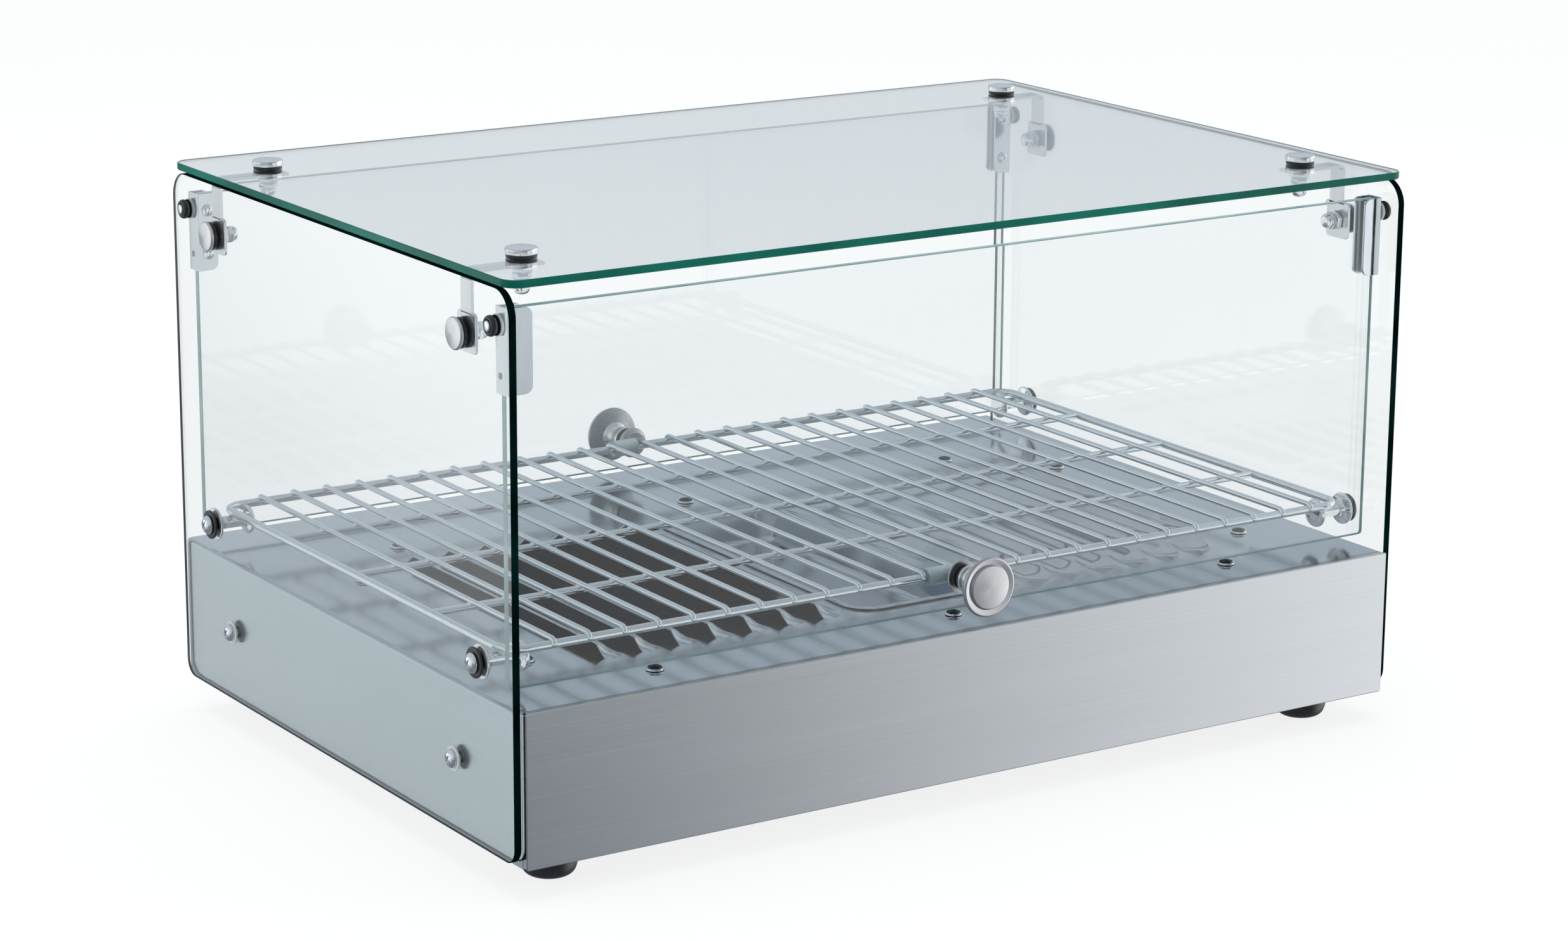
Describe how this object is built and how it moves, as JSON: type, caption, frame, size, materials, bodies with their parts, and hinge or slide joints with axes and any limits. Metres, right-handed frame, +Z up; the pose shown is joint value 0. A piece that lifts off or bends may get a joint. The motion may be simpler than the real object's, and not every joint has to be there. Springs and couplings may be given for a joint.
{
  "type": "countertop heated display cabinet",
  "caption": "Countertop heated display and proofing cabinet with glass housing, top-hung front and rear glass flaps, wire rack, louvred deck and drop-in water pan.",
  "frame": {"origin": "middle of the bounding box at ground level, under the four feet", "axes": "+X to the right seen from the front, +Y to the rear, +Z up; the front panel faces -Y"},
  "size_m": [0.5638, 0.388, 0.3137],
  "materials": {
    "polished_sheet": "polished stainless sheet",
    "brushed_sheet": "horizontal brushed grain",
    "zinc_sheet": "plain zinc-coated sheet",
    "element_sheath": "heat-dulled sheath",
    "clear_glass": "toughened, clear, green-grey edges",
    "turned_steel": "turned, fine circular grain",
    "bright_chrome": "bright plated",
    "clear_plastic": "translucent sleeve",
    "black_rubber": "moulded, satin",
    "black_plastic": "moulded, satin",
    "amber_lens": "translucent lens",
    "ceramic_block": "unglazed ceramic",
    "wire_jacket": "silicone jacket"
  },
  "bodies": {
    "cabinet": {"base_casing": "polished_sheet", "front_panel": "brushed_sheet", "rear_panel": "brushed_sheet", "bottom_plate": "zinc_sheet", "heater_tray": "zinc_sheet", "left_element_bracket": "zinc_sheet", "right_element_bracket": "zinc_sheet", "thermostat_body": "zinc_sheet", "left_heating_element": "element_sheath", "right_heating_element": "element_sheath", "top_glass": "clear_glass", "left_side_glass": "clear_glass", "right_side_glass": "clear_glass", "front_left_foot": "black_rubber", "front_left_hinge_bush": "black_rubber", "front_left_corner_bracket": "polished_sheet", "front_left_top_bolt": "bright_chrome", "front_left_side_bolt": "bright_chrome", "front_left_shelf_peg": "bright_chrome", "front_left_base_screw": "bright_chrome", "front_right_foot": "black_rubber", "front_right_hinge_bush": "black_rubber", "front_right_corner_bracket": "polished_sheet", "front_right_top_bolt": "bright_chrome", "front_right_side_bolt": "bright_chrome", "front_right_shelf_peg": "bright_chrome", "front_right_base_screw": "bright_chrome", "rear_left_foot": "black_rubber", "rear_left_hinge_bush": "black_rubber", "rear_left_corner_bracket": "polished_sheet", "rear_left_top_bolt": "bright_chrome", "rear_left_side_bolt": "bright_chrome", "rear_left_shelf_peg": "bright_chrome", "rear_left_base_screw": "bright_chrome", "rear_right_foot": "black_rubber", "rear_right_hinge_bush": "black_rubber", "rear_right_corner_bracket": "polished_sheet", "rear_right_top_bolt": "bright_chrome", "rear_right_side_bolt": "bright_chrome", "rear_right_shelf_peg": "bright_chrome", "rear_right_base_screw": "bright_chrome", "switch_housing": "black_plastic", "cable_gland": "black_plastic", "pilot_lamp": "amber_lens", "terminal_block": "ceramic_block", "wiring_loom": "wire_jacket"},
    "front_door": {"front_door_glass": "clear_glass", "front_door_knob": "turned_steel", "front_left_hinge_clip": "bright_chrome", "front_right_hinge_clip": "bright_chrome"},
    "rear_door": {"rear_door_glass": "clear_glass", "rear_door_knob": "turned_steel", "rear_left_hinge_clip": "bright_chrome", "rear_right_hinge_clip": "bright_chrome"},
    "rack": {"wire_rack": "bright_chrome", "front_bumper_sleeve": "clear_plastic", "rear_bumper_sleeve": "clear_plastic"},
    "pan": {"water_pan": "polished_sheet"},
    "rocker": {"switch_rocker": "black_plastic"},
    "dial": {"thermostat_knob": "black_plastic"}
  },
  "joints": [
    {"name": "front_door", "type": "hinge", "parent": "cabinet", "child": "front_door", "pos_m": [0, -0.17, 0.2846], "axis": [-1, 0, 0], "range_deg": [0, 125]},
    {"name": "rear_door", "type": "hinge", "parent": "cabinet", "child": "rear_door", "pos_m": [0, 0.17, 0.2846], "axis": [1, 0, 0], "range_deg": [0, 125]},
    {"name": "rack_lift", "type": "slide", "parent": "cabinet", "child": "rack", "axis": [0, 0, 1], "range_m": [0, 0.06]},
    {"name": "pan_lift", "type": "slide", "parent": "cabinet", "child": "pan", "axis": [0, 0, 1], "range_m": [0, 0.012]},
    {"name": "rocker", "type": "hinge", "parent": "cabinet", "child": "rocker", "pos_m": [0.11, 0.182, 0.0565], "axis": [1, 0, 0], "range_deg": [0, 16]},
    {"name": "dial", "type": "hinge", "parent": "cabinet", "child": "dial", "pos_m": [-0.06, 0.182, 0.0565], "axis": [0, 1, 0], "range_deg": [0, 270]}
  ]
}
